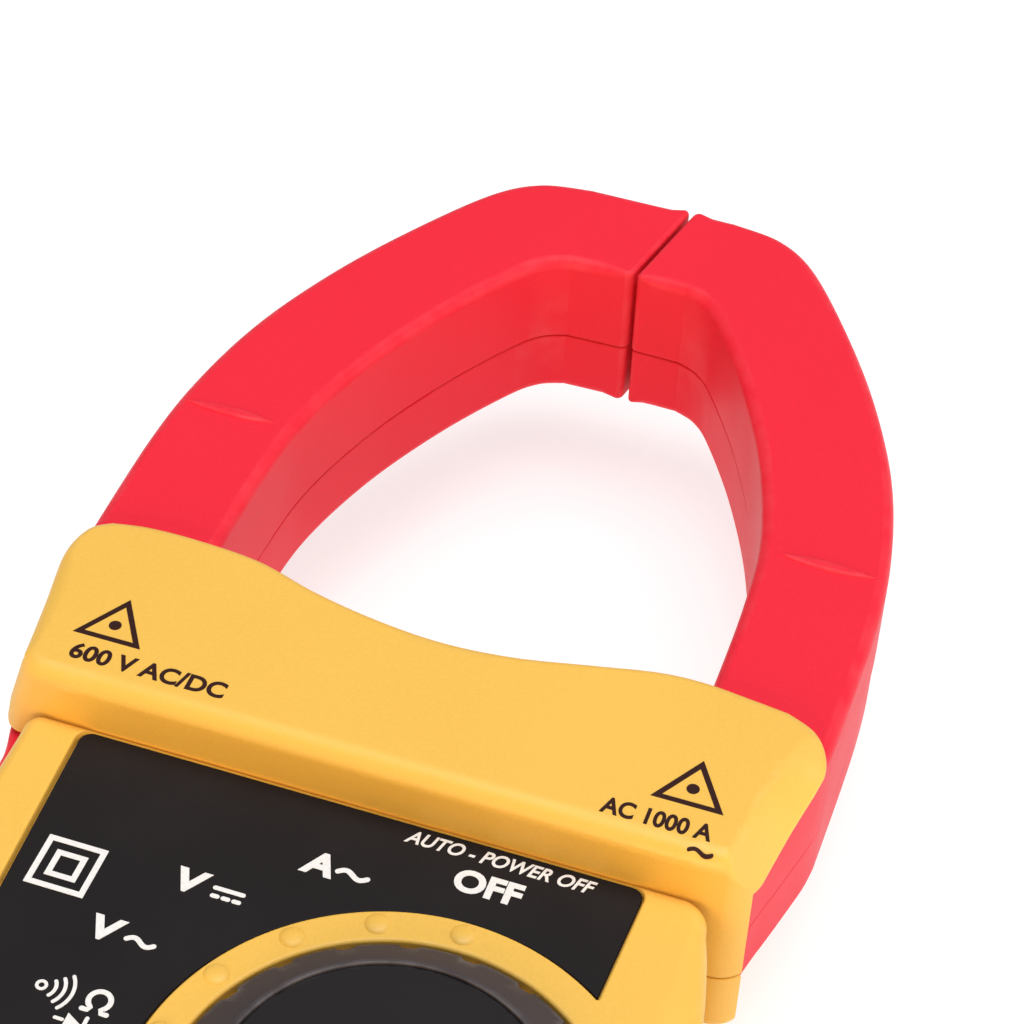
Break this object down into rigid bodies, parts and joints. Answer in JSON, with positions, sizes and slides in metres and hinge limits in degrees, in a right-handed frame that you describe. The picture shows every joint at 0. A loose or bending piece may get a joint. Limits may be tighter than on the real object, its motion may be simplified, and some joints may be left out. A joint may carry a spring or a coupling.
{
  "type": "clamp meter",
  "caption": "Hand-held current clamp meter with hinged teardrop jaws, a trigger lever, a rotary function dial, a display, buttons and input sockets.",
  "frame": {"origin": "on the flat back rest face, on the centre line of the jaws and level with the axis of the function dial", "axes": "+Y towards the tip of the jaws, +Z out of the front panel, +X to the right when the panel is read"},
  "size_m": [0.1051, 0.249, 0.0442],
  "materials": {
    "yellow_shell": "fine satin moulding",
    "label": "printed satin label",
    "red_shell": "smooth semi-gloss moulding",
    "core_iron": "laminated",
    "copper": "enamelled winding",
    "steel": "zinc plated",
    "black_plastic": "fine textured moulding",
    "grey_plastic": "satin moulding",
    "rubber_mat": "matte",
    "window": "clear gloss",
    "display": "liquid crystal",
    "board": "solder mask",
    "brass": "turned",
    "battery_wrap": "plain wrap"
  },
  "bodies": {
    "case": {"battery": "battery_wrap", "battery_door": "yellow_shell", "battery_door_screw": "steel", "battery_snap": "black_plastic", "buzzer": "black_plastic", "case_screw_1": "steel", "case_screw_2": "steel", "case_screw_3": "steel", "case_screw_4": "steel", "com_contact": "brass", "com_jack": "black_plastic", "fixed_jaw_coil": "copper", "fixed_jaw_core": "core_iron", "fixed_jaw_front": "red_shell", "fixed_jaw_rear": "red_shell", "fixed_jaw_screw_1": "steel", "fixed_jaw_screw_2": "steel", "front_case": "yellow_shell", "jaw_spring": "steel", "keypad_mat": "rubber_mat", "label_plate": "label", "lcd_module": "display", "lcd_window": "window", "main_board": "board", "pivot_pin": "steel", "rear_case": "yellow_shell", "volt_contact": "brass", "volt_jack": "red_shell"},
    "moving_jaw": {"moving_jaw_front": "red_shell", "moving_jaw_rear": "red_shell", "moving_jaw_core": "core_iron", "moving_jaw_coil": "copper", "trigger_lever": "red_shell"},
    "dial": {"dial_knob": "black_plastic", "dial_cap": "black_plastic", "switch_rotor": "grey_plastic", "rotor_wiper": "copper", "detent_spring": "steel"},
    "hold_key": {"hold_button": "grey_plastic"},
    "range_key": {"range_button": "grey_plastic"},
    "light_key": {"light_button": "grey_plastic"}
  },
  "joints": [
    {"name": "jaw_open", "type": "hinge", "parent": "case", "child": "moving_jaw", "pos_m": [-0.031, 0.057, 0.0305], "axis": [0, 0, 1], "range_deg": [0, 26], "stiffness_Nm_per_rad": 0.35, "springref_deg": -20.05},
    {"name": "dial_turn", "type": "hinge", "parent": "case", "child": "dial", "pos_m": [0.016, 0, 0.038], "axis": [0, 0, 1], "range_deg": [-83.2, 0]},
    {"name": "hold_press", "type": "slide", "parent": "case", "child": "hold_key", "axis": [0, 0, -1], "range_m": [0, 0.0008], "stiffness_N_per_m": 900, "springref_m": -0.0004},
    {"name": "range_press", "type": "slide", "parent": "case", "child": "range_key", "axis": [0, 0, -1], "range_m": [0, 0.0008], "stiffness_N_per_m": 900, "springref_m": -0.0004},
    {"name": "light_press", "type": "slide", "parent": "case", "child": "light_key", "axis": [0, 0, -1], "range_m": [0, 0.0008], "stiffness_N_per_m": 900, "springref_m": -0.0004}
  ]
}
